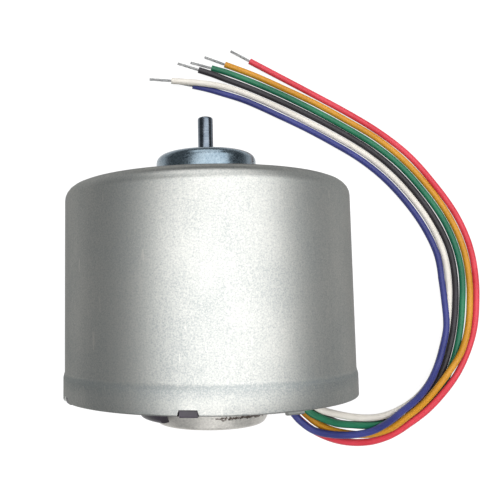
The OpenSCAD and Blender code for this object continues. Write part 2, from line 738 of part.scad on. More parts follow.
module rear_bearing_cup() {
  color("#a9a8a4") lying() difference() {
    rotate_extrude() difference() {
      cup_section();
      translate([0, cup_end_z + cup_end_t]) square([bearing_r, 2 * can_len]);
    }
    translate([0, 0, floor_front_z - overrun / 2]) linear_extrude(cup_flange_t + overrun)
      grommet_outline(grommet_lip + window_gap);
    for (i = [0 : stakes - 1]) at_polar(stake_angle + i * 360 / stakes, stake_circle_r)
      translate([0, 0, floor_front_z - overrun / 2]) cylinder(r = stake_r, h = cup_flange_t + overrun);
  }
}

// Radius of the cup's cone at a height, with the collar's gap added.
function cone_r(z) = cup_base.x + collar_gap
  + (z - cup_base.y) * (cup_base.x - cup_tangent.x) / (cup_base.y - cup_tangent.y);

module collar_section() {
  collar_r = cup_r + collar_wall;
  end_z = cup_end_z + collar_inset;
  polygon([[cup_r, floor_front_z], [collar_r, floor_front_z], [collar_r, end_z + collar_edge_r],
    [collar_r - collar_edge_r, end_z + collar_edge_r], [collar_r - collar_edge_r, end_z],
    [cone_r(end_z), end_z], [cup_r + collar_gap, cover_back_z], [cup_r + collar_gap, floor_back_z],
    [cup_r, floor_back_z]]);
  intersection() {
    translate([collar_r - collar_edge_r, end_z + collar_edge_r]) circle(collar_edge_r);
    translate([collar_r - collar_edge_r, end_z]) square(collar_edge_r);
  }
}

module rear_cover() {
  color("#2f2a33") lying() {
    difference() {
      union() {
        ring_tube(cover_r, cover_in_r, cover_back_z, stack_back_z);
        ring_tube(cover_in_r + cover_wall / 2, cup_r, floor_back_z, floor_front_z);
      }
      translate([0, 0, floor_back_z - overrun]) linear_extrude(cover_t + 2 * overrun) grommet_outline(0);
    }
    for (angle = notch_angles) round_from_top(angle)
      translate([-notch_w / 2 + tab_gap, -band_r + tab_inset, cover_back_z])
        cube([notch_w - 2 * tab_gap, band_r - tab_inset - cover_in_r - cover_wall / 2,
          notch_depth + cover_proud - tab_gap]);
    rotate([0, 0, collar_mid_angle - collar_angle / 2])
      rotate_extrude(angle = collar_angle) collar_section();
    for (i = [0 : stakes - 1]) at_polar(stake_angle + i * 360 / stakes, stake_circle_r) {
      translate([0, 0, floor_front_z - cover_t / 2]) cylinder(r = stake_r, h = cover_t / 2 + cup_flange_t);
      translate([0, 0, cup_flange_z]) cylinder(r = stake_head_r, h = stake_head_h);
    }
  }
}

module wave_washer() {
  color("#8a8f94") lying()
    ring_tube(bearing_r - washer_gap, washer_in_r, cup_end_z + cup_end_t, cup_end_z + cup_end_t + washer_t);
}

module lead_grommet() {
  color("#232226") lying() difference() {
    union() {
      translate([0, 0, floor_back_z - grommet_out_t])
        linear_extrude(grommet_out_t) grommet_outline(grommet_lip);
      translate([0, 0, floor_back_z]) linear_extrude(cover_t) grommet_outline(0);
      translate([0, 0, floor_front_z]) linear_extrude(grommet_in_t) grommet_outline(grommet_lip);
    }
    for (place = grid) translate([place.x, place.y, floor_back_z - grommet_out_t - overrun])
      cylinder(r = lead_r, h = grommet_out_t + cover_t + grommet_in_t + 2 * overrun);
  }
}

// A route with one more point between each two, on a smooth curve, and never under the surface.
function before(route, i) = i > 0 ? route[i - 1] : 2 * route[0] - route[1];
function after(route, i) = i + 2 < len(route) ? route[i + 2] : 2 * route[i + 1] - route[i];
function between(route, i) = (9 * (route[i] + route[i + 1]) - before(route, i) - after(route, i)) / 16;
function above(p) = [p.x, p.y, max(p.z, rest_z)];
function smooth(route) = [for (i = [0 : len(route) - 2]) each [route[i], above(between(route, i))],
  route[len(route) - 1]];

function unit(v) = v / norm(v);
function heading(path, i) = unit(path[min(i + 1, len(path) - 1)] - path[max(i - 1, 0)]);
// A side direction that stays square to the path and as level as it can.
function side_of(dir) = unit(cross(dir, [0, 0, 1]));

// A closed tube swept along a path, with flat ends.
module tube_along(path, radius, sides) {
  count = len(path);
  points = [for (i = [0 : count - 1]) let (dir = heading(path, i), u = side_of(dir), v = cross(u, dir))
    for (k = [0 : sides - 1]) path[i] + radius * (cos(360 * k / sides) * u + sin(360 * k / sides) * v)];
  walls = [for (i = [0 : count - 2], k = [0 : sides - 1])
    let (a = i * sides + k, b = i * sides + (k + 1) % sides)
      each [[a, b, b + sides], [a, b + sides, a + sides]]];
  start_cap = [for (k = [1 : sides - 2]) [0, k + 1, k]];
  end_cap = [for (k = [1 : sides - 2]) let (last = (count - 1) * sides) [last, last + k, last + k + 1]];
  polyhedron(points, concat(walls, start_cap, end_cap));
}

module lead(route, tint) {
  color(tint) tube_along(smooth(route), lead_r, lead_sides);
}

// The tinned strands carry on straight from the end of a lead.
module lead_tip(route) {
  path = smooth(route);
  last = len(path) - 1;
  dir = heading(path, last);
  color("#c9cbce") translate(path[last]) rotate([0, 90 - asin(dir.z), atan2(dir.y, dir.x)])
    cylinder(r = strand_r, h = tip_len);
}

module lead_red() lead(red_route, "#d63a50");
module lead_yellow() lead(yellow_route, "#cf9428");
module lead_green() lead(green_route, "#147a58");
module lead_black() lead(black_route, "#2e2a30");
module lead_white() lead(white_route, "#ece8e1");
module lead_blue() lead(blue_route, "#3a429a");
module tip_red() lead_tip(red_route);
module tip_yellow() lead_tip(yellow_route);
module tip_green() lead_tip(green_route);
module tip_black() lead_tip(black_route);
module tip_white() lead_tip(white_route);
module tip_blue() lead_tip(blue_route);

can();
front_bearing_housing();
front_backing_plate();
front_outer_race();
front_inner_race();
front_balls();
front_ball_cage();
front_shields();
shaft();
front_spacer();
rotor_core();
ring_magnet();
rear_spacer();
stator_core();
front_insulator();
rear_insulator();
phase_u_coils();
phase_v_coils();
phase_w_coils();
phase_pins();
driver_board();
board_screws();
hall_sensors();
driver_chip();
power_transistors();
ceramic_capacitors();
filter_capacitor();
sense_resistor();
solder_joints();
rear_cover();
rear_bearing_cup();
wave_washer();
rear_outer_race();
rear_inner_race();
rear_balls();
rear_ball_cage();
rear_shields();
lead_grommet();
lead_red();
lead_yellow();
lead_green();
lead_black();
lead_white();
lead_blue();
tip_red();
tip_yellow();
tip_green();
tip_black();
tip_white();
tip_blue();
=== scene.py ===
# A small brushless motor lying on a pale table, with its six leads looped round it.
import json
import math

import bmesh
import bpy
from mathutils import Matrix, Vector


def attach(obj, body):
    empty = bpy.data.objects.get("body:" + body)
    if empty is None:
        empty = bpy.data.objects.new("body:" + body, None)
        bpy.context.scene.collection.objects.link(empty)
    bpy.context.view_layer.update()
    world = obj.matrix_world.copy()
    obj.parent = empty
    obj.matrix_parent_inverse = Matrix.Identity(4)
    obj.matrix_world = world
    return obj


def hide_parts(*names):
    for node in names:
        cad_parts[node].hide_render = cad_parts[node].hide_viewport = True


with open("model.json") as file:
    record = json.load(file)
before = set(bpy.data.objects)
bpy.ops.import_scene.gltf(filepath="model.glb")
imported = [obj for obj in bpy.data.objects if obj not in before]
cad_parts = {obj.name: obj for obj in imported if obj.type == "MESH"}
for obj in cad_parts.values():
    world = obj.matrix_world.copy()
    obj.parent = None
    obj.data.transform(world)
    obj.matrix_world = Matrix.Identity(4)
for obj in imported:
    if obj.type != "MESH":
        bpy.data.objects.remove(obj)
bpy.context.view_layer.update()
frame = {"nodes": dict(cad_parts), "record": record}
nodes = frame["nodes"]
mm = 0.001
fullTurn = 2 * math.pi
tableHeight = -21.2 * mm  # the can's band and the leads rest here
print("frame loaded:", len(nodes), "nodes")


# Colours are written as sRGB hex and turned to linear here.
def hexColour(text):
    channels = [int(text[i:i + 2], 16) / 255 for i in (1, 3, 5)]
    linear = [c / 12.92 if c <= 0.04045 else ((c + 0.055) / 1.055) ** 2.4 for c in channels]
    return (*linear, 1)


# A node with its settings, its fixed inputs, its links and, on a ramp, its stops.
def addNode(tree, kind, inputs=None, links=None, stops=None, **settings):
    node = tree.nodes.new(kind)
    for name, value in settings.items():
        setattr(node, name, value)
    for key, value in (inputs or {}).items():
        node.inputs[key].default_value = value
    for key, source in (links or {}).items():
        tree.links.new(source, node.inputs[key])
    if stops:
        ramp = node.color_ramp
        while len(ramp.elements) < len(stops):
            ramp.elements.new(1)
        for element, (spot, tint) in zip(ramp.elements, stops):
            element.position = spot
            element.color = hexColour(tint)
    return node


# The result of a Math node. Each part is a number, or the socket that it is read from.
def calculate(tree, operation, *parts):
    node = addNode(tree, "ShaderNodeMath", operation=operation)
    for i, part in enumerate(parts):
        if isinstance(part, bpy.types.NodeSocket):
            tree.links.new(part, node.inputs[i])
        else:
            node.inputs[i].default_value = part
    return node.outputs[0]


# Camera. It looks down on the motor, a little from the rear, as the photographer did.
cameraSettings = {
    "place": (-2.278 * mm, -16.926 * mm, 102.02 * mm),
    "tilt": math.radians(5.697),
    "roll": math.radians(-0.979),
    "lens": 49.2,
    "sensor": 36,
    "shiftX": 0.1156,
    "shiftY": -0.0325,
}


def makeCamera(settings):
    data = bpy.data.cameras.new("camera")
    data.lens = settings["lens"]
    data.sensor_width = settings["sensor"]
    data.shift_x = settings["shiftX"]
    data.shift_y = settings["shiftY"]
    data.clip_start = mm
    camera = bpy.data.objects.new("camera", data)
    bpy.context.scene.collection.objects.link(camera)
    turn = Matrix.Rotation(settings["tilt"], 4, "X") @ Matrix.Rotation(settings["roll"], 4, "Z")
    camera.matrix_world = Matrix.Translation(settings["place"]) @ turn
    bpy.context.scene.camera = camera


makeCamera(cameraSettings)
print("camera placed")

meshSettings = {
    "mergeDistance": 0.5e-6,  # joins a turned piece's first and last row
    "leastEdge": 0.2e-6,
    "sharpAngle": math.radians(35),
}


# A Geometry Nodes tree with named inputs.
def newTree(name, inputs):
    tree = bpy.data.node_groups.new(name, "GeometryNodeTree")
    tree.interface.new_socket(name="Geometry", in_out="INPUT", socket_type="NodeSocketGeometry")
    for label, kind in inputs:
        tree.interface.new_socket(name=label, in_out="INPUT", socket_type="NodeSocket" + kind)
    tree.interface.new_socket(name="Geometry", in_out="OUTPUT", socket_type="NodeSocketGeometry")
    return tree, addNode(tree, "NodeGroupInput").outputs


# The end that every tree has: real geometry, smooth, merged and with its material.
def closeTree(tree, geometry, material):
    real = addNode(tree, "GeometryNodeRealizeInstances", links={0: geometry})
    merged = addNode(tree, "GeometryNodeMergeByDistance",
                     {"Distance": meshSettings["mergeDistance"]}, {0: real.outputs[0]})
    smooth = addNode(tree, "GeometryNodeSetShadeSmooth", links={0: merged.outputs[0]})
    painted = addNode(tree, "GeometryNodeSetMaterial",
                      links={0: smooth.outputs[0], "Material": material})
    addNode(tree, "NodeGroupOutput", links={0: painted.outputs[0]})


# The angle of each point, when count of them stand evenly on a circle.
def evenAngle(tree, count, start=0):
    order = addNode(tree, "GeometryNodeInputIndex").outputs[0]
    step = calculate(tree, "DIVIDE", fullTurn, count)
    return calculate(tree, "MULTIPLY_ADD", order, step, start)


# How far a point at this angle and reach lies along the two directions of its circle.
def circlePoint(tree, angle, reach):
    return [calculate(tree, "MULTIPLY", calculate(tree, name, angle), reach)
            for name in ("COSINE", "SINE")]


# Runs a tree over these points and edges, and turns what it makes into a clean piece.
def runTree(name, tree, values, points=(), edges=()):
    source = bpy.data.meshes.new(name + "Source")
    source.from_pydata([tuple(p) for p in points], list(edges), [])
    holder = bpy.data.objects.new(name + "Holder", source)
    bpy.context.scene.collection.objects.link(holder)
    modifier = holder.modifiers.new("nodes", "NODES")
    modifier.node_group = tree
    for item in tree.interface.items_tree:
        if item.in_out == "INPUT" and item.name in values:
            modifier[item.identifier] = values[item.name]
    bpy.context.view_layer.update()
    evaluated = holder.evaluated_get(bpy.context.evaluated_depsgraph_get())
    mesh = bpy.data.meshes.new_from_object(evaluated)
    holder.modifiers.remove(modifier)
    bpy.data.objects.remove(holder)
    work = bmesh.new()
    work.from_mesh(mesh)
    bmesh.ops.dissolve_degenerate(work, edges=work.edges, dist=meshSettings["leastEdge"])
    bmesh.ops.holes_fill(work, edges=[edge for edge in work.edges if edge.is_boundary], sides=0)
    bmesh.ops.recalc_face_normals(work, faces=work.faces)
    work.to_mesh(mesh)
    work.free()
    mesh.name = name
    mesh.shade_smooth()
    mesh.set_sharp_from_angle(angle=meshSettings["sharpAngle"])
    piece = bpy.data.objects.new(name, mesh)
    bpy.context.scene.collection.objects.link(piece)
    return piece


def place(piece, body, slot, *replaced):
    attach(piece, body)
    if replaced:
        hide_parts(*replaced)


# Materials. Their patterns lie on Object coordinates, and their sizes are in millimetres.
def newMaterial(name):
    material = bpy.data.materials.new(name)
    material.use_nodes = True
    tree = material.node_tree
    tree.nodes.clear()
    return material, tree, addNode(tree, "ShaderNodeTexCoord").outputs["Object"]


def addNoise(tree, where, size, detail, roughness=0.5):
    return addNode(tree, "ShaderNodeTexNoise",
                   {"Scale": 1 / (size * mm), "Detail": detail, "Roughness": roughness},
                   {"Vector": where}).outputs[0]


# Takes a value from one range to another, and holds it at the ends.
def mapped(tree, value, source, target=(0, 1), **settings):
    ends = {"From Min": source[0], "From Max": source[1], "To Min": target[0], "To Max": target[1]}
    return addNode(tree, "ShaderNodeMapRange", ends, {0: value}, **settings).outputs[0]


def addTint(tree, tone, *stops):
    return addNode(tree, "ShaderNodeValToRGB", links={0: tone}, stops=stops).outputs[0]


def addBump(tree, height, depth, strength):
    return addNode(tree, "ShaderNodeBump", {"Strength": strength, "Distance": depth * mm},
                   {"Height": height}).outputs[0]


# The end that every material has.
def addSurface(tree, fixed, linked):
    surface = addNode(tree, "ShaderNodeBsdfPrincipled", fixed, linked)
    addNode(tree, "ShaderNodeOutputMaterial", links={0: surface.outputs[0]})


# Galvanised drawn steel: a matt zinc coat with a fine even grain, faint clouds, faint draw marks
# that run along the can, a few short scratches, and a zone behind the step painted darker, which
# stands for painted shade under the step together with some wear of the coat.
zincCoatSettings = {
    "grain": 0.2, "cloud": 9, "drawMark": 0.5, "scratch": 0.7,  # sizes
    "grainShare": 0.72, "cloudShare": 0.2, "drawMarkShare": 0.08, "scratchShare": 0.16,
    "scratchesOver": (0.74, 0.78),  # the part of their noise that makes a scratch
    "marksRun": (1, 0.15, 1),
    # painted shade under the step, with some wear: where the zone behind the step is darkened, and
    # by how much
    "shadeAndWearStart": (-26.5, -26.8), "shadeAndWearEnd": (-28.7, -27), "shadeAndWearDarker": 0.11,
    "tints": ((0.34, "#8f9494"), (0.5, "#a9aaa7"), (0.66, "#bcbbb6")),
    "roughFrom": (0.36, 0.7), "rough": (0.45, 0.36), "bump": 0.01, "bumpStrength": 0.35,
    "specularTint": (0.25, 0.25, 0.25, 1), "anisotropic": 0.6,
}


def galvanisedSteel(s):
    material, tree, where = newMaterial("galvanisedSteel")
    stretched = addNode(tree, "ShaderNodeMapping", {"Scale": s["marksRun"]}, {"Vector": where})
    along = stretched.outputs[0]
    scratches = mapped(tree, addNoise(tree, along, s["scratch"], 1), s["scratchesOver"])
    tone = calculate(tree, "MULTIPLY", addNoise(tree, where, s["grain"], 3, 0.75), s["grainShare"])
    for layer, share in ((addNoise(tree, where, s["cloud"], 2), s["cloudShare"]),
                         (addNoise(tree, along, s["drawMark"], 3), s["drawMarkShare"]),
                         (scratches, s["scratchShare"])):
        tone = calculate(tree, "MULTIPLY_ADD", layer, share, tone)
    # Painted shade under the step, with some wear: the zone behind the step is made darker.
    spot = addNode(tree, "ShaderNodeSeparateXYZ", links={0: where}).outputs["Y"]
    fading = mapped(tree, spot, [y * mm for y in s["shadeAndWearEnd"]], (0, s["shadeAndWearDarker"]))
    behind = mapped(tree, spot, [y * mm for y in s["shadeAndWearStart"]])
    tone = calculate(tree, "SUBTRACT", tone, calculate(tree, "MULTIPLY", fading, behind))
    lay = addNode(tree, "ShaderNodeTangent", direction_type="RADIAL", axis="Y").outputs[0]
    addSurface(tree, {"Metallic": 1, "Specular Tint": s["specularTint"],
                      "Anisotropic": s["anisotropic"]}, {
        "Base Color": addTint(tree, tone, *s["tints"]),
        "Roughness": mapped(tree, tone, s["roughFrom"], s["rough"]),
        "Normal": addBump(tree, tone, s["bump"], s["bumpStrength"]), "Tangent": lay})
    return material


everyWay = (1, 1, 1)
roundTheShaft = (0.05, 1, 0.05)  # marks of turning and grinding, which run round the shaft axis
metalSettings = {
    "cloud": 9,  # size of the clouds, in marks
    "markShare": 0.6, "cloudShare": 0.4,
    "tintsFrom": (0.35, 0.68), "roughFrom": (0.35, 0.65), "bumpStrength": 0.4,
}


# One recipe for metals whose look differs in colour, gloss and the size of their marks. The marks
# are stretched by run, which is under 1 along the direction in which they run.
def metalFinish(name, tints, rough, marks, bump, run=everyWay):
    s = metalSettings
    material, tree, where = newMaterial(name)
    stretched = addNode(tree, "ShaderNodeMapping", {"Scale": run}, {"Vector": where}).outputs[0]
    marked = addNoise(tree, stretched, marks, 4, 0.6)
    cloud = addNoise(tree, where, marks * s["cloud"], 2)
    tone = calculate(tree, "MULTIPLY", marked, s["markShare"])
    tone = calculate(tree, "MULTIPLY_ADD", cloud, s["cloudShare"], tone)
    addSurface(tree, {"Metallic": 1}, {
        "Base Color": addTint(tree, tone, *zip(s["tintsFrom"], tints)),
        "Roughness": mapped(tree, tone, s["roughFrom"], rough),
        "Normal": addBump(tree, marked, bump, s["bumpStrength"])})
    return material


residueSettings = {
    "spot": -32.55, "width": 0.26, "fade": 0.1, "tint": "#5f5650",
    "blotch": 0.5, "blotchesOver": (0.4, 0.62),
    "fromX": (-0.5, 1.5),  # it grows to its full width between these two
}


# Dark varnish that ran round the +X side of a turned piece, at one place along the shaft, and
# dried in patches.
def addResidue(material, s):
    tree = material.node_tree
    surface = tree.nodes["Principled BSDF"]
    clean = surface.inputs["Base Color"].links[0].from_socket
    where = addNode(tree, "ShaderNodeTexCoord").outputs["Object"]
    split = addNode(tree, "ShaderNodeSeparateXYZ", links={0: where}).outputs
    patches = mapped(tree, addNoise(tree, where, s["blotch"], 4, 0.7), s["blotchesOver"])
    oneSide = mapped(tree, split["X"], [x * mm for x in s["fromX"]], (0, 2 * s["width"] * mm))
    spread = calculate(tree, "MULTIPLY", patches, oneSide)
    away = calculate(tree, "SUBTRACT", split["Y"], s["spot"] * mm)
    inside = calculate(tree, "SUBTRACT", spread, calculate(tree, "ABSOLUTE", away))
    cover = mapped(tree, inside, (0, s["fade"] * mm))
    mixed = addNode(tree, "ShaderNodeMix", {7: hexColour(s["tint"])}, {0: cover, 6: clean},
                    data_type="RGBA")
    tree.links.new(mixed.outputs[2], surface.inputs["Base Color"])
    return material


mouldSettings = {
    "cloud": 12,  # size of the clouds, in grains
    "tintsFrom": (0.35, 0.65), "roughFrom": (0.3, 0.7), "roughVaries": (0.85, 1.15),
    "bumpStrength": 0.4,
}


# One recipe for plastics, rubber, enamel and laminate: a body colour that varies a little, and a
# skin with the grain of its mould or coating.
def mouldedFinish(name, tints, rough, grain, bump, ior=1.5, coat=0.0):
    s = mouldSettings
    material, tree, where = newMaterial(name)
    skin = addNoise(tree, where, grain, 3)
    cloud = addNoise(tree, where, grain * s["cloud"], 2)
    addSurface(tree, {"IOR": ior, "Coat Weight": coat}, {
        "Base Color": addTint(tree, cloud, *zip(s["tintsFrom"], tints)),
        "Roughness": mapped(tree, skin, s["roughFrom"], [rough * r for r in s["roughVaries"]]),
        "Normal": addBump(tree, skin, bump, s["bumpStrength"])})
    return material


waveRadians = 20  # to the metre, in a wave texture whose scale is 1
layerSettings = {"distortion": 0.4, "tintsFrom": (0.12, 0.45), "bump": 0.06, "bumpStrength": 0.8}


# Layers across one axis, such as packs of sheet or rows of wire, with their joints about this far
# apart.
def layeredFinish(name, tints, apart, axis, metallic, rough):
    s = layerSettings
    material, tree, where = newMaterial(name)
    bands = addNode(tree, "ShaderNodeTexWave", {
        "Scale": fullTurn / waveRadians / (apart * mm), "Distortion": s["distortion"]},
        {"Vector": where}, wave_type="BANDS", bands_direction=axis,
        wave_profile="SIN").outputs["Fac"]
    addSurface(tree, {"Metallic": metallic, "Roughness": rough}, {
        "Base Color": addTint(tree, bands, *zip(s["tintsFrom"], tints)),
        "Normal": addBump(tree, bands, s["bump"], s["bumpStrength"])})
    return material


materials = {
    "galvanised_can": galvanisedSteel(zincCoatSettings),
    # turned steel with bright zinc plate: glossy, finely speckled; its cold blue tint is a painted
    # reflection of a blue sky
    "zinc_plated_housing": metalFinish(
        "blueZincPlate", ("#596772", "#88969f"), rough=(0.2, 0.34), marks=0.26, bump=0.009),
    # phosphated pressed steel: dull grey
    "plain_steel": metalFinish(
        "pressedSteel", ("#7c8185", "#9fa3a6"), rough=(0.35, 0.5), marks=0.3, bump=0.01),
    # hardened chrome steel: mirror bright with a fine lay
    "bearing_steel": metalFinish(
        "chromeSteel", ("#bcc0c3", "#dddfe1"), rough=(0.08, 0.16), marks=0.1, bump=0.002,
        run=roundTheShaft),
    # pressed brass sheet: satin
    "cage_brass": metalFinish(
        "pressedBrass", ("#a87f3b", "#c79c55"), rough=(0.25, 0.4), marks=0.25, bump=0.008),
    # ground and blued shaft steel: dark, glossy
    "shaft_steel": metalFinish(
        "groundShaftSteel", ("#505963", "#747c85"), rough=(0.16, 0.26), marks=0.12, bump=0.004,
        run=roundTheShaft),
    # turned brass: bright, with the tool's marks round it
    "spacer_brass": metalFinish(
        "turnedBrass", ("#b8924c", "#d9b670"), rough=(0.18, 0.3), marks=0.14, bump=0.006,
        run=roundTheShaft),
    # bonded ferrite magnet: matt, nearly black
    "bonded_magnet": mouldedFinish(
        "bondedMagnet", ("#2c2e32", "#45484d"), rough=0.6, grain=0.2, bump=0.02),
    # silicon steel sheet, stacked in packs
    "laminations": layeredFinish(
        "siliconSteelSheets", ("#33363a", "#7a7f84"), apart=3.1416, axis="Y", metallic=0.9,
        rough=0.45),
    # unfilled nylon as moulded: cream, satin
    "natural_nylon": mouldedFinish(
        "naturalNylon", ("#ddd6c2", "#ece6d6"), rough=0.45, grain=0.35, bump=0.01),
    # enamelled copper wire, wound in rows
    "enamelled_copper": layeredFinish(
        "enamelledCopper", ("#4d1f0c", "#b9662e"), apart=2.1991, axis="DIAGONAL", metallic=0.85,
        rough=0.25),
    # glass epoxy laminate under green solder mask
    "board_laminate": mouldedFinish(
        "solderMask", ("#16573a", "#1f6f4a"), rough=0.3, grain=0.6, bump=0.012, ior=1.55, coat=0.3),
    # moulded epoxy of chip packages: matt black
    "black_epoxy": mouldedFinish(
        "mouldedEpoxy", ("#1b1c1e", "#292a2d"), rough=0.5, grain=0.12, bump=0.008),
    # fired ceramic of small capacitors: tan
    "ceramic": mouldedFinish(
        "firedCeramic", ("#967548", "#b3925f"), rough=0.4, grain=0.1, bump=0.004),
    # drawn aluminium: clean and bright
    "capacitor_can": metalFinish(
        "drawnAluminium", ("#b5b9bd", "#d4d7da"), rough=(0.2, 0.3), marks=0.15, bump=0.004),
    # glass-filled nylon, dark with a purple cast: satin skin with a fine grain
    "dark_nylon": mouldedFinish(
        "glassFilledNylon", ("#26212a", "#3a333f"), rough=0.42, grain=0.18, bump=0.012),
    # zinc over pressed steel, worn and scuffed by handling
    "worn_cup": addResidue(metalFinish(
        "wornZincPlate", ("#bcb9b4", "#e6e3dd"), rough=(0.52, 0.64), marks=0.28, bump=0.03),
        residueSettings),
    # moulded rubber: matt black
    "black_rubber": mouldedFinish(
        "mouldedRubber", ("#1c1b1e", "#2a292d"), rough=0.6, grain=0.15, bump=0.01),
    # tin solder as it set: bright, a little uneven
    "solder_and_pins": metalFinish(
        "tinSolder", ("#b9bcbe", "#dcdee0"), rough=(0.2, 0.35), marks=0.2, bump=0.01),
    # strands dipped in tin and gone dull: grey, uneven
    "tinned_strands": metalFinish(
        "tinnedStrands", ("#747577", "#aeaead"), rough=(0.3, 0.45), marks=0.25, bump=0.02),
}
# soft PVC insulation: satin, pigmented right through
leadTints = {
    "red": ("#c2323f", "#cd3f4d"), "yellow": ("#b97f1a", "#c58a25"),
    "green": ("#175f45", "#22704f"), "black": ("#1f1c21", "#2a272d"),
    "white": ("#cfcac1", "#dcd7ce"), "blue": ("#292e68", "#363b7c"),
}
for tintName, tints in leadTints.items():
    materials[tintName + "_insulation"] = mouldedFinish(
        tintName + "Insulation", tints, rough=0.45, grain=0.5, bump=0.012, ior=1.4)
for row in frame["record"]["subparts"]:
    for materialSlot in nodes[row["node"]].material_slots:
        materialSlot.material = materials[row["material_slot"]]
print("materials made:", len(materials))


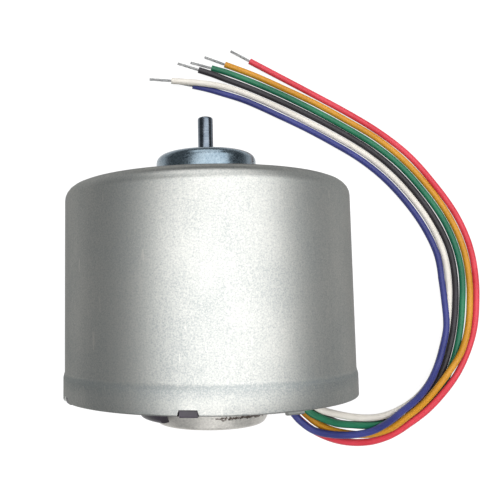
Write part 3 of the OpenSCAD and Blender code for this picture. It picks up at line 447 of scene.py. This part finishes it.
# Leads. Each route starts at the board, and its third point is where it leaves the grommet.
leadSettings = {
    "diameter": 1.1 * mm,
    "restHeight": -20.65 * mm,  # height of a lead's centre where it lies on the table
    "exitPoint": 2,  # the route's point in the grommet's outer face
    "refinements": 3,
    "sides": 20,
}
leadRoutes = {
    "red": [
        (11.4, -24.4, -5.3), (11.4, -27, -5.3), (11.4, -29.6, -5.3), (11.4, -30.4, -5.3),
        (11.7, -31.9, -5.4), (12.3, -33.4, -5.5), (13.3, -34.7, -5.8), (14.4, -35.8, -6.1),
        (16.1, -37.1, -6.6), (18.8, -38.5, -7.7), (22.1, -39.5, -9.3), (25.9, -39.8, -11),
        (29.7, -39.2, -12.8), (33.2, -37.8, -14.5), (37, -35.9, -16.4), (40.4, -33.4, -18),
        (43.6, -30.5, -19.8), (45.9, -26.9, -20.5), (47.5, -22.6, -20.65), (48.2, -17.8, -20.65),
        (48.3, -12.8, -20.65), (47.5, -7.4, -20.65), (45.3, -1.8, -20.65), (41.8, 3.6, -20.65),
        (37.6, 8.8, -20.65), (32.6, 13.1, -20.65), (27.2, 16.7, -20.65), (21.4, 20.1, -20.65),
        (15.6, 23.4, -20.65), (8.9, 27.2, -20.65)],
    "yellow": [
        (13, -24.4, -5.3), (13, -27, -5.3), (13, -29.6, -5.3), (13, -30.4, -5.3),
        (13.2, -31.7, -5.4), (13.7, -32.9, -5.5), (14.4, -34, -5.8), (15.3, -34.9, -6.1),
        (16.8, -36.1, -6.6), (19.2, -37.3, -7.7), (22.4, -38.2, -9.2), (26, -38.6, -10.8),
        (29.7, -38, -12.4), (32.8, -36.6, -14.1), (36.2, -34.9, -16.2), (39.3, -32.6, -17.9),
        (42.1, -29.8, -19), (44.6, -26.5, -19.5), (46.3, -22.4, -20.3), (47, -17.7, -20.5),
        (47.1, -12.9, -20.6), (46.3, -7.7, -20.65), (44.1, -2.2, -20.65), (40.8, 3, -20.65),
        (36.6, 8, -20.65), (31.8, 12.2, -20.65), (26.5, 15.6, -20.65), (20.9, 18.9, -20.65),
        (15.2, 21.8, -20.65), (9.6, 24.5, -20.65), (4.3, 26.65, -20.65)],
    "green": [
        (13, -24.4, -4), (13, -27, -4), (13, -29.6, -4), (13, -30.4, -4), (13.3, -31.7, -4.1),
        (14, -32.8, -4.3), (14.9, -33.7, -4.6), (16, -34.5, -4.9), (19.4, -36, -6.5),
        (22.3, -36.6, -8.1), (25.6, -37.2, -10.5), (29.1, -37.4, -13.2), (33.1, -37.2, -15.9),
        (37, -35.8, -17.7), (40.3, -33.3, -19.4), (42.6, -30.1, -20.5), (44.1, -26.4, -20.65),
        (45.1, -22.3, -20.65), (45.7, -17.7, -20.65), (45.9, -13, -20.65), (45.1, -8, -20.65),
        (43, -2.7, -20.65), (39.7, 2.4, -20.65), (35.7, 7.2, -20.65), (31, 11.2, -20.65),
        (25.9, 14.5, -20.65), (20.4, 17.7, -20.65), (14.7, 20.7, -20.65), (9.2, 23.25, -20.65),
        (4.8, 25.05, -20.65), (1.8, 26, -20.65)],
    "black": [
        (14.6, -24.4, -5.3), (14.6, -27, -5.3), (14.6, -29.6, -5.3), (14.6, -30.4, -5.3),
        (14.8, -31.5, -5.4), (15.2, -32.6, -5.6), (15.9, -33.6, -6), (16.7, -34.3, -6.4),
        (19.6, -36, -7.9), (22.4, -36.8, -9.7), (25.8, -37.1, -12.2), (29, -36.7, -14.3),
        (32.4, -36, -15.9), (36.1, -34.7, -17.8), (39.3, -32.6, -19.4), (41.5, -29.6, -20.4),
        (42.9, -26.1, -20.65), (43.9, -22.1, -20.65), (44.5, -17.6, -20.65), (44.6, -13.1, -20.65),
        (43.9, -8.3, -20.65), (41.8, -3.2, -20.65), (38.6, 1.8, -20.65), (34.7, 6.4, -20.65),
        (30.2, 10.3, -20.65), (25.3, 13.5, -20.65), (19.9, 16.6, -20.65), (14.3, 19.5, -20.65),
        (8.8, 22.05, -20.65), (4.6, 23.7, -20.55), (2, 24.65, -20.2), (-0.6, 25.45, -19.9)],
    "white": [
        (14.6, -24.4, -4), (14.6, -27, -4), (14.6, -29.6, -4), (14.6, -30.4, -4),
        (14.8, -31.6, -4.1), (15.5, -32.6, -4.4), (16.5, -33.4, -4.8), (17.7, -34, -5.3),
        (19.9, -34.7, -6.5), (22.5, -35.4, -8.1), (25.6, -36, -10.5), (28.7, -36.1, -12.8),
        (31.9, -35.4, -14.6), (35.2, -34, -16.6), (38.1, -31.9, -18.5), (40.4, -29.1, -20.3),
        (41.7, -25.8, -20.65), (42.7, -22, -20.65), (43.3, -17.6, -20.65), (43.4, -13.3, -20.65),
        (42.7, -8.6, -20.65), (40.7, -3.6, -20.65), (37.6, 1.2, -20.65), (33.8, 5.6, -20.65),
        (29.4, 9.4, -20.65), (24.7, 12.4, -20.65), (19.4, 15.4, -20.65), (13.9, 18.3, -20.65),
        (8.5, 20.8, -20.6), (4.3, 22.15, -20.1), (0.2, 22.8, -19.6), (-2.8, 23.1, -19.5),
        (-5.6, 23.35, -19.5)],
    "blue": [
        (11.4, -24.4, -4), (11.4, -27, -4), (11.4, -29.6, -4), (11.4, -30.4, -4),
        (11.6, -31.9, -4.1), (12.2, -33.3, -4.2), (13.1, -34.6, -4.5), (14.2, -35.7, -4.7),
        (16, -36.9, -5.2), (18.8, -37.7, -6.3), (22.2, -38.1, -7.8), (25.7, -37.9, -9.4),
        (28.9, -36.9, -11.2), (31.8, -35.5, -13.1), (34.9, -33.9, -15.1), (37.7, -31.7, -17),
        (39.9, -29, -18.8), (41.3, -25.8, -19.4), (42.2, -21.9, -19.4), (42.2, -17.6, -19.7),
        (42.2, -13.4, -20.65), (41.6, -9, -20.65), (39.5, -4.1, -20.65), (36.5, 0.5, -20.65),
        (32.8, 4.8, -20.65), (28.6, 8.4, -20.65), (24.1, 11.3, -20.65), (18.9, 14.3, -20.65),
        (13.5, 17.05, -20.65), (8.2, 19.6, -20.65), (4.1, 21.05, -20.65), (0.8, 22.1, -20.65),
        (-1.7, 22.7, -20.65)],
}


# One more point between each two, on a smooth curve through them all, and never under the table.
def refined(path, lowest):
    points = []
    for i in range(len(path) - 1):
        before = path[i - 1] if i > 0 else 2 * path[0] - path[1]
        after = path[i + 2] if i + 2 < len(path) else 2 * path[i + 1] - path[i]
        middle = (9 * (path[i] + path[i + 1]) - before - after) / 16
        middle.z = max(middle.z, lowest)
        points += [path[i], middle]
    return points + [path[-1]]


def leadPath(tintName):
    path = [Vector(p) * mm for p in leadRoutes[tintName]]
    for _ in range(leadSettings["refinements"]):
        path = refined(path, leadSettings["restHeight"])
    return path


def insulationTree():
    tree, given = newTree("insulatedLead", (
        ("Radius", "Float"), ("Sides", "Int"), ("Material", "Material")))
    line = addNode(tree, "GeometryNodeMeshToCurve", links={0: given["Geometry"]})
    ring = addNode(tree, "GeometryNodeCurvePrimitiveCircle",
                   links={"Resolution": given["Sides"], "Radius": given["Radius"]})
    tube = addNode(tree, "GeometryNodeCurveToMesh", {"Fill Caps": True},
                   {"Curve": line.outputs[0], "Profile Curve": ring.outputs[0]})
    closeTree(tree, tube.outputs[0], given["Material"])
    return tree


tipSettings = {
    "length": 4 * mm,
    "strandRadius": 0.08 * mm,
    "outerStrands": 6,
    "twist": 0.7 * fullTurn,
    "steps": 26,
    "strandSides": 8,
    "coreSides": 16,
}


# Strands twisted round a core of solder, as one bundle along +Z that is turned into place later.
def strandTree():
    tree, given = newTree("strandedEnd", (
        ("Length", "Float"), ("Strand Radius", "Float"), ("Twist", "Float"),
        ("Outer Strands", "Int"), ("Material", "Material")))
    top = addNode(tree, "ShaderNodeCombineXYZ", links={"Z": given["Length"]})
    start = addNode(tree, "GeometryNodeCurvePrimitiveLine", {"Start": (0, 0, 0)},
                    {"End": top.outputs[0]})
    line = addNode(tree, "GeometryNodeResampleCurve", {"Count": tipSettings["steps"]},
                   {0: start.outputs[0]})
    share = addNode(tree, "GeometryNodeSplineParameter").outputs["Factor"]
    angle = calculate(tree, "MULTIPLY", share, given["Twist"])
    reach = calculate(tree, "MULTIPLY", given["Strand Radius"], 2)
    aside, across = circlePoint(tree, angle, reach)
    offset = addNode(tree, "ShaderNodeCombineXYZ", links={"X": aside, "Y": across})
    outer = addNode(tree, "GeometryNodeSetPosition",
                    links={0: line.outputs[0], "Offset": offset.outputs[0]})
    tubes = []
    for path, radius, sides in ((outer, given["Strand Radius"], tipSettings["strandSides"]),
                                (line, reach, tipSettings["coreSides"])):
        ring = addNode(tree, "GeometryNodeCurvePrimitiveCircle", {"Resolution": sides},
                       {"Radius": radius})
        tube = addNode(tree, "GeometryNodeCurveToMesh", {"Fill Caps": True},
                       {"Curve": path.outputs[0], "Profile Curve": ring.outputs[0]})
        tubes.append(tube.outputs[0])
    strand, core = tubes
    seats = addNode(tree, "GeometryNodePoints", links={"Count": given["Outer Strands"]})
    turn = evenAngle(tree, given["Outer Strands"])
    rotation = addNode(tree, "ShaderNodeCombineXYZ", links={"Z": turn})
    copies = addNode(tree, "GeometryNodeInstanceOnPoints", links={
        "Points": seats.outputs[0], "Instance": strand, "Rotation": rotation.outputs[0]})
    both = addNode(tree, "GeometryNodeJoinGeometry", links={0: copies.outputs[0]})
    tree.links.new(core, both.inputs[0])
    closeTree(tree, both.outputs[0], given["Material"])
    return tree


def makeTube(name, tree, points, tintName):
    slotName = tintName + "_insulation"
    tube = runTree(name, tree, {
        "Radius": leadSettings["diameter"] / 2, "Sides": leadSettings["sides"],
        "Material": materials[slotName],
    }, points, [(i, i + 1) for i in range(len(points) - 1)])
    place(tube, "stator", slotName, "lead_" + tintName)
    return tube


def makeLeads():
    insulation = insulationTree()
    strands = strandTree()
    exitIndex = leadSettings["exitPoint"] * 2 ** leadSettings["refinements"]
    for tintName in leadRoutes:
        path = leadPath(tintName)
        outside = path[exitIndex:]
        label = "lead" + tintName.capitalize()
        lead = makeTube(label, insulation, outside, tintName)
        makeTube(label + "Root", insulation, path[:exitIndex + 1], tintName)
        tip = runTree("tip" + tintName.capitalize(), strands, {
            "Length": tipSettings["length"], "Strand Radius": tipSettings["strandRadius"],
            "Twist": tipSettings["twist"], "Outer Strands": tipSettings["outerStrands"],
            "Material": materials["tinned_strands"],
        })
        heading = (path[-1] - path[-2]).normalized().to_track_quat("Z", "Y").to_matrix().to_4x4()
        tip.data.transform(Matrix.Translation(path[-1]) @ heading)
        place(tip, "stator", "tinned_strands", "tip_" + tintName)


makeLeads()
print("leads and their tinned ends made")

cornerSteps = 6  # on the arc of a rounded corner


# Turned and drawn pieces. A profile is a closed ring of corners, each (radius, place along the
# shaft, corner radius) in millimetres, which a node tree turns round the shaft axis.
def roundedProfile(corners):
    points = []
    for i, (reach, along, radius) in enumerate(corners):
        corner = Vector((reach, along))
        if radius == 0:
            points.append(corner)
            continue
        back = (Vector(corners[i - 1][:2]) - corner).normalized()
        onward = (Vector(corners[(i + 1) % len(corners)][:2]) - corner).normalized()
        half = back.angle(onward) / 2
        centre = corner + (back + onward).normalized() * radius / math.sin(half)
        first = corner + back * radius / math.tan(half) - centre
        last = corner + onward * radius / math.tan(half) - centre
        sweep = first.angle_signed(last)
        for k in range(cornerSteps + 1):
            turn = -sweep * k / cornerSteps
            points.append(centre + Vector((
                first.x * math.cos(turn) - first.y * math.sin(turn),
                first.x * math.sin(turn) + first.y * math.cos(turn))))
    return [Vector((p.x * mm, p.y * mm, 0)) for p in points]


# Turns the profile's points round Y. Straight pulls the two halves apart, which gives a slot's
# shape. Each notch raises the rim over its width, at its own angle.
def turnedTree(notchAngles):
    tree, given = newTree("turnedPiece", (
        ("Segments", "Int"), ("Start", "Float"), ("Sweep", "Float"), ("Straight", "Float"),
        ("Notch Floor", "Float"), ("Notch Half Angle", "Float"), ("Material", "Material")))
    count = addNode(tree, "GeometryNodeAttributeDomainSize",
                    links={0: given["Geometry"]}).outputs["Point Count"]
    grid = addNode(tree, "GeometryNodeMeshGrid", {"Size X": 1, "Size Y": 1}, {
        "Vertices X": calculate(tree, "ADD", given["Segments"], 1),
        "Vertices Y": calculate(tree, "ADD", count, 1)})
    here = addNode(tree, "GeometryNodeInputPosition").outputs[0]
    split = addNode(tree, "ShaderNodeSeparateXYZ", links={0: here}).outputs
    shareRound = calculate(tree, "ADD", split["X"], 0.5)
    angle = calculate(tree, "MULTIPLY_ADD", shareRound, given["Sweep"], given["Start"])
    row = calculate(tree, "MULTIPLY", calculate(tree, "ADD", split["Y"], 0.5), count)
    ringRow = calculate(tree, "MODULO", calculate(tree, "ROUND", row), count)
    profile = addNode(tree, "GeometryNodeSampleIndex", data_type="FLOAT_VECTOR", domain="POINT",
                      links={0: given["Geometry"], "Value": here, "Index": ringRow})
    corner = addNode(tree, "ShaderNodeSeparateXYZ", links={0: profile.outputs[0]}).outputs
    along = corner["Y"]
    for notchAngle in notchAngles:
        away = calculate(tree, "SUBTRACT", angle, notchAngle)
        distance = calculate(tree, "ABSOLUTE", calculate(tree, "WRAP", away, -math.pi, math.pi))
        inside = calculate(tree, "LESS_THAN", distance, given["Notch Half Angle"])
        raised = calculate(tree, "MAXIMUM", along, given["Notch Floor"])
        along = addNode(tree, "ShaderNodeMix", data_type="FLOAT",
                        links={0: inside, 2: along, 3: raised}).outputs[0]
    aside, height = circlePoint(tree, angle, corner["X"])
    side = calculate(tree, "SIGN", calculate(tree, "COSINE", angle))
    pulled = calculate(tree, "MULTIPLY_ADD", side, given["Straight"], aside)
    spot = addNode(tree, "ShaderNodeCombineXYZ", links={"X": pulled, "Y": along, "Z": height})
    moved = addNode(tree, "GeometryNodeSetPosition",
                    links={0: grid.outputs[0], "Position": spot.outputs[0]})
    closeTree(tree, moved.outputs[0], given["Material"])
    return tree


# Cuts copies of a cutter out of a piece. They stand evenly on a circle round the shaft axis.
def cutTree():
    tree, given = newTree("cutPiece", (
        ("Piece", "Object"), ("Cutter", "Object"), ("Count", "Int"), ("Circle Radius", "Float"),
        ("Turn", "Float"), ("Material", "Material")))
    body = addNode(tree, "GeometryNodeObjectInfo", links={"Object": given["Piece"]})
    cutter = addNode(tree, "GeometryNodeObjectInfo", links={"Object": given["Cutter"]})
    seats = addNode(tree, "GeometryNodePoints", links={"Count": given["Count"]})
    angle = evenAngle(tree, given["Count"], given["Turn"])
    aside, height = circlePoint(tree, angle, given["Circle Radius"])
    spot = addNode(tree, "ShaderNodeCombineXYZ", links={"X": aside, "Z": height})
    placed = addNode(tree, "GeometryNodeSetPosition",
                     links={0: seats.outputs[0], "Position": spot.outputs[0]})
    copies = addNode(tree, "GeometryNodeInstanceOnPoints",
                     links={"Points": placed.outputs[0], "Instance": cutter.outputs["Geometry"]})
    cut = addNode(tree, "GeometryNodeMeshBoolean", operation="DIFFERENCE", solver="EXACT",
                  links={"Mesh 1": body.outputs["Geometry"], "Mesh 2": copies.outputs[0]})
    closeTree(tree, cut.outputs["Mesh"], given["Material"])
    return tree


def turned(name, corners, slotName, segments, start=0.0, sweep=fullTurn, straight=0, notches=None):
    values = {"Segments": segments, "Start": start, "Sweep": sweep, "Straight": straight * mm,
              "Material": materials[slotName]}
    if notches:
        values["Notch Floor"] = notches["floor"] * mm
        values["Notch Half Angle"] = notches["width"] / 2 / notches["reach"]
    tree = turnedTree(notches["angles"] if notches else ())
    return runTree(name, tree, values, roundedProfile(corners))


# Takes a cutter out of a piece, once where it stands or at several places on a circle.
def cutAway(piece, cutter, slotName, count=1, circleRadius=0, turn=0.0):
    name = piece.name
    piece.name = name + "Blank"
    made = runTree(name, cutTree(), {
        "Piece": piece, "Cutter": cutter, "Count": count, "Circle Radius": circleRadius * mm,
        "Turn": turn, "Material": materials[slotName]})
    for used in (piece, cutter):
        bpy.data.objects.remove(used)
    return made


def shifted(piece, x, z):
    piece.data.transform(Matrix.Translation((x * mm, 0, z * mm)))
    return piece


axis = 0.001  # a profile stops just short of the shaft axis, and its poles are merged

canSettings = {
    "radius": 21.0, "length": 30.2, "sheet": 0.8, "shoulder": 2.1,
    "bandLength": 3.8, "bandRise": 0.2, "bandSlope": 0.8, "centreHole": 7.8,
    "notchWidth": 2.3, "notchDepth": 0.75,
    "notchTurns": (-8.5, -68.5, 171.5, 111.5),  # from straight up towards +X
    "screwCircle": 12.5, "screwHole": 1.6, "screwHoles": 4,
    "tongueWidth": 2.4, "tongueReach": 0.4, "tongueTurn": 28, "tongueInset": 0.1,
    "holeEdge": 0.08, "stepEdge": 0.3, "rimEdge": 0.18, "rimInnerEdge": 0.12,
    "tongueEdge": 0.2, "tongueInnerEdge": 0.15,
    "segments": 720, "holeSegments": 48, "tongueSegments": 12,
}


# From an angle measured from straight up towards +X to the angle that the tree turns by.
def turnFromTop(degrees):
    return math.radians(90 - degrees)


def makeCan(s):
    outer, inner, sheet = s["radius"], s["radius"] - s["sheet"], s["sheet"]
    band = outer + s["bandRise"]
    rim = -s["length"]
    bandStart = rim + s["bandLength"]
    corners = [
        (s["centreHole"], 0, s["holeEdge"]), (outer, 0, s["shoulder"]),
        (outer, bandStart, s["stepEdge"]), (band, bandStart - s["bandSlope"], s["stepEdge"]),
        (band, rim, s["rimEdge"]), (inner, rim, s["rimInnerEdge"]),
        (inner, -sheet, s["shoulder"] - sheet), (s["centreHole"], -sheet, s["holeEdge"])]
    can = turned("can", corners, "galvanised_can", s["segments"], notches={
        "angles": [turnFromTop(t) for t in s["notchTurns"]],
        "floor": s["notchDepth"] + rim, "width": s["notchWidth"], "reach": band})
    drill = turned("drill", [
        (axis, sheet, 0), (s["screwHole"], sheet, 0), (s["screwHole"], -2 * sheet, 0),
        (axis, -2 * sheet, 0)], "galvanised_can", s["holeSegments"])
    can = cutAway(can, drill, "galvanised_can", s["screwHoles"], s["screwCircle"],
                  math.pi / s["screwHoles"])
    place(can, "stator", "galvanised_can", "can")
    sweep = s["tongueWidth"] / outer
    tongueInner, tip = inner + s["tongueInset"], rim - s["tongueReach"]
    tongue = turned("rimTongue", [
        (tongueInner, tip, s["tongueInnerEdge"]), (outer, tip, s["tongueEdge"]),
        (outer, rim + sheet, 0), (tongueInner, rim + sheet, 0)],
        "galvanised_can", s["tongueSegments"], turnFromTop(s["tongueTurn"]) - sweep / 2, sweep)
    place(tongue, "stator", "galvanised_can")


makeCan(canSettings)
print("can made")

housingSettings = {
    "boss": 7.5, "bossHeight": 5.0, "bossEdge": 1.15, "spigot": 7.8, "spigotBack": -2.8,
    "stake": 8.15, "stakeBack": -3.1, "seat": 6.0, "lipBack": 3.4, "lipHole": 2.6,
    "edge": 0.1, "lipEdge": 0.15, "seatEdge": 0.05, "segments": 192,
}


def makeHousing(s):
    corners = [
        (s["lipHole"], s["bossHeight"], s["lipEdge"]), (s["boss"], s["bossHeight"], s["bossEdge"]),
        (s["boss"], 0, 0), (s["spigot"], 0, 0), (s["spigot"], s["spigotBack"], 0),
        (s["stake"], s["spigotBack"], s["edge"]), (s["stake"], s["stakeBack"], s["edge"]),
        (s["seat"], s["stakeBack"], s["edge"]), (s["seat"], s["lipBack"], s["seatEdge"]),
        (s["lipHole"], s["lipBack"], s["edge"])]
    housing = turned("frontBearingHousing", corners, "zinc_plated_housing", s["segments"])
    place(housing, "stator", "zinc_plated_housing", "front_bearing_housing")


makeHousing(housingSettings)

shaftSettings = {
    "radius": 2.0, "outputRadius": 1.15, "tail": -33.2, "shoulder": 5.0, "reach": 11.0,
    "edge": 0.2, "bevel": 0.35, "segments": 96,
}


def makeShaft(s):
    corners = [
        (axis, s["tail"], 0), (s["radius"], s["tail"], s["edge"]),
        (s["radius"], s["shoulder"], s["edge"]), (s["outputRadius"], s["shoulder"], 0),
        (s["outputRadius"], s["reach"], s["bevel"]), (axis, s["reach"], 0)]
    shaft = turned("shaft", corners, "shaft_steel", s["segments"])
    place(shaft, "rotor", "shaft_steel", "shaft")


makeShaft(shaftSettings)
print("housing and shaft made")

cupSettings = {
    "radius": 9.8, "rim": -30.4, "endRadius": 7.7, "end": -34.3, "endWall": -33.5,
    "seat": 6.0, "flange": 12.8, "flangeBack": -27.2, "flangeFront": -26.3,
    "edge": 0.1, "rimEdge": 0.3, "endEdge": 1.05, "segments": 192,
}


def makeCup(s):
    corners = [
        (s["seat"], s["flangeFront"], s["edge"]), (s["flange"], s["flangeFront"], s["edge"]),
        (s["flange"], s["flangeBack"], s["edge"]), (s["radius"], s["flangeBack"], 0),
        (s["radius"], s["rim"], s["rimEdge"]), (s["endRadius"], s["end"], s["endEdge"]),
        (axis, s["end"], 0), (axis, s["endWall"], 0), (s["seat"], s["endWall"], s["edge"])]
    cup = turned("rearBearingCup", corners, "worn_cup", s["segments"])
    place(cup, "stator", "worn_cup", "rear_bearing_cup")


makeCup(cupSettings)
print("rear cup made")

# Rear cover: a wall and a floor, a tab in each notch of the can, a collar round one side of the
# cup and the stakes that hold the cup. The grommet sits in a slot in the floor.
coverSettings = {
    "radius": 20.1, "innerRadius": 19.1, "front": -18.6, "back": -30.4,
    "floorBack": -28.8, "floorFront": -27.2, "hub": 9.8,
    "tabWidth": 2.2, "tabInner": 19.6, "tabOuter": 20.95, "tabLength": 0.9,
    "collarGap": 0.1, "collarRadius": 10.4, "collarEnd": -33.3, "collarInnerEnd": 8.55,
    "collarEdge": 0.8, "collarAngle": 94,
    "stakes": 3, "stakeTurn": -80, "stakeCircle": 11.4, "stakeRadius": 0.7, "stakeHead": 1.2,
    "stakeHeadBack": -26.3, "stakeHeadFront": -25.7, "stakeCrown": 0.4,
    "edge": 0.1, "hubEdge": 0.05, "frontEdge": 0.2, "backEdge": 0.15, "fillet": 0.4,
    "segments": 240, "tabSegments": 10, "collarSegments": 60, "stakeSegments": 32,
}
grommetSettings = {
    "x": 13.0, "z": -4.65, "slotRadius": 1.7, "lipRadius": 2.3, "straight": 0.95,
    "back": -29.6, "front": -26.6, "slotOverrun": 1,
    "backEdge": 0.35, "frontEdge": 0.2, "innerEdge": 0.1, "slotSegments": 48, "segments": 64,
}


def makeShell(s, g):
    shell = turned("coverShell", [
        (s["hub"], s["floorFront"], s["hubEdge"]), (s["innerRadius"], s["floorFront"], s["fillet"]),
        (s["innerRadius"], s["front"], s["edge"]), (s["radius"], s["front"], s["frontEdge"]),
        (s["radius"], s["back"], s["backEdge"]), (s["innerRadius"], s["back"], s["backEdge"]),
        (s["innerRadius"], s["floorBack"], s["fillet"]), (s["hub"], s["floorBack"], s["hubEdge"])],
        "dark_nylon", s["segments"])
    slotFront, slotBack = s["floorFront"] + g["slotOverrun"], s["floorBack"] - g["slotOverrun"]
    slot = turned("slot", [
        (axis, slotFront, 0), (g["slotRadius"], slotFront, 0), (g["slotRadius"], slotBack, 0),
        (axis, slotBack, 0)], "dark_nylon", g["slotSegments"], straight=g["straight"])
    return cutAway(shell, shifted(slot, g["x"], g["z"]), "dark_nylon")


def makeTab(s, number, notchTurn):
    sweep = s["tabWidth"] / s["tabOuter"]
    front = s["back"] + s["tabLength"]
    return turned("coverTab%d" % number, [
        (s["tabInner"], s["back"], s["edge"]), (s["tabInner"], front, s["edge"]),
        (s["tabOuter"], front, s["edge"]), (s["tabOuter"], s["back"], s["backEdge"])],
        "dark_nylon", s["tabSegments"], turnFromTop(notchTurn) - sweep / 2, sweep)


def makeCollar(s):
    sweep = math.radians(s["collarAngle"])
    inner = s["hub"] + s["collarGap"]
    return turned("coverCollar", [
        (inner, s["floorBack"], 0), (s["collarRadius"], s["floorBack"], 0),
        (s["collarRadius"], s["collarEnd"], s["collarEdge"]),
        (s["collarInnerEnd"], s["collarEnd"], s["edge"]), (inner, s["back"], 0)],
        "dark_nylon", s["collarSegments"], math.pi - sweep / 2, sweep)


def makeStake(s, number):
    stake = turned("coverStake%d" % number, [
        (axis, s["floorFront"], 0), (s["stakeRadius"], s["floorFront"], 0),
        (s["stakeRadius"], s["stakeHeadBack"], 0),
        (s["stakeHead"], s["stakeHeadBack"], s["edge"]),
        (s["stakeHead"], s["stakeHeadFront"], s["stakeCrown"]), (axis, s["stakeHeadFront"], 0)],
        "dark_nylon", s["stakeSegments"])
    angle = math.radians(s["stakeTurn"]) - number * fullTurn / s["stakes"]
    return shifted(stake, s["stakeCircle"] * math.cos(angle), s["stakeCircle"] * math.sin(angle))


def makeCover(s, g):
    pieces = [makeShell(s, g)]
    pieces += [makeTab(s, number, turn) for number, turn in enumerate(canSettings["notchTurns"])]
    pieces.append(makeCollar(s))
    pieces += [makeStake(s, number) for number in range(s["stakes"])]
    for piece in pieces:
        place(piece, "stator", "dark_nylon", "rear_cover")
    grommet = turned("leadGrommet", [
        (axis, g["back"], 0), (g["lipRadius"], g["back"], g["backEdge"]),
        (g["lipRadius"], s["floorBack"], g["innerEdge"]), (g["slotRadius"], s["floorBack"], 0),
        (g["slotRadius"], s["floorFront"], 0), (g["lipRadius"], s["floorFront"], g["innerEdge"]),
        (g["lipRadius"], g["front"], g["frontEdge"]), (axis, g["front"], 0)],
        "black_rubber", g["segments"], straight=g["straight"])
    place(shifted(grommet, g["x"], g["z"]), "stator", "black_rubber", "lead_grommet")


makeCover(coverSettings, grommetSettings)
print("rear cover and grommet made")


# 1 for the rays that show the background as it is: from the camera, off gloss and through glass.
def seenDirectly(tree):
    rays = addNode(tree, "ShaderNodeLightPath").outputs
    seen = calculate(tree, "MAXIMUM", rays["Is Camera Ray"], rays["Is Glossy Ray"])
    return calculate(tree, "MAXIMUM", seen, rays["Is Transmission Ray"])


# The table is grey to the lamps. It glows only to those rays, white round the motor and less
# further out, and keeps the motor's shadow.
tableSettings = {
    "tint": "#7c7c7c", "half": 0.6, "glowCentre": (6 * mm, -9 * mm, tableHeight),
    "glowFades": (62 * mm, 140 * mm), "glow": (0.87, 0.13),
}


def makeTable(s):
    material, tree, where = newMaterial("paleTable")
    plain = addNode(tree, "ShaderNodeBsdfDiffuse", {"Color": hexColour(s["tint"])})
    away = addNode(tree, "ShaderNodeVectorMath", {1: s["glowCentre"]}, {0: where},
                   operation="DISTANCE")
    strength = mapped(tree, away.outputs["Value"], s["glowFades"], s["glow"],
                      interpolation_type="SMOOTHSTEP")
    glow = addNode(tree, "ShaderNodeEmission", {"Color": (1, 1, 1, 1)}, {"Strength": strength})
    lit = addNode(tree, "ShaderNodeAddShader", links={0: plain.outputs[0], 1: glow.outputs[0]})
    final = addNode(tree, "ShaderNodeMixShader",
                    links={0: seenDirectly(tree), 1: plain.outputs[0], 2: lit.outputs[0]})
    addNode(tree, "ShaderNodeOutputMaterial", links={0: final.outputs[0]})
    half = s["half"]
    corners = [(-half, -half), (half, -half), (half, half), (-half, half)]
    mesh = bpy.data.meshes.new("table")
    mesh.from_pydata([(x, y, tableHeight) for x, y in corners], [], [(0, 1, 2, 3)])
    mesh.materials.append(material)
    table = bpy.data.objects.new("table", mesh)
    bpy.context.scene.collection.objects.link(table)


lampSettings = {
    # name: (place in mm, size in mm, watts)
    "overhead": ((48, 8, 325), (330, 640), 1.95),
    "front": ((10, 330, 250), (420, 290), 0.85),
    "rear": ((30, -300, 160), (220, 160), 0.32),
}


def makeLamps(settings):
    for name, (spot, size, watts) in settings.items():
        data = bpy.data.lights.new(name, "AREA")
        data.shape = "RECTANGLE"
        data.size, data.size_y = size[0] * mm, size[1] * mm
        data.energy = watts
        lamp = bpy.data.objects.new(name, data)
        bpy.context.scene.collection.objects.link(lamp)
        lamp.location = Vector(spot) * mm
        lamp.rotation_euler = (-lamp.location).to_track_quat("-Z", "Y").to_euler()


worldSettings = {
    # name: (colour, strength)
    "room": ("#dfe4e6", 0.1),  # faint light from all round
    "backdrop": ("#6c7072", 1),  # the wall that the camera and gloss see
}


def makeWorld(settings):
    world = bpy.data.worlds.new("studio")
    world.use_nodes = True
    tree = world.node_tree
    tree.nodes.clear()
    room, backdrop = [
        addNode(tree, "ShaderNodeBackground", {"Color": hexColour(tint), "Strength": strength})
        for tint, strength in (settings["room"], settings["backdrop"])]
    final = addNode(tree, "ShaderNodeMixShader",
                    links={0: seenDirectly(tree), 1: room.outputs[0], 2: backdrop.outputs[0]})
    addNode(tree, "ShaderNodeOutputWorld", links={0: final.outputs[0]})
    bpy.context.scene.world = world


makeTable(tableSettings)
makeLamps(lampSettings)
makeWorld(worldSettings)
bpy.context.scene.view_settings.view_transform = "Standard"
print("table and light made")
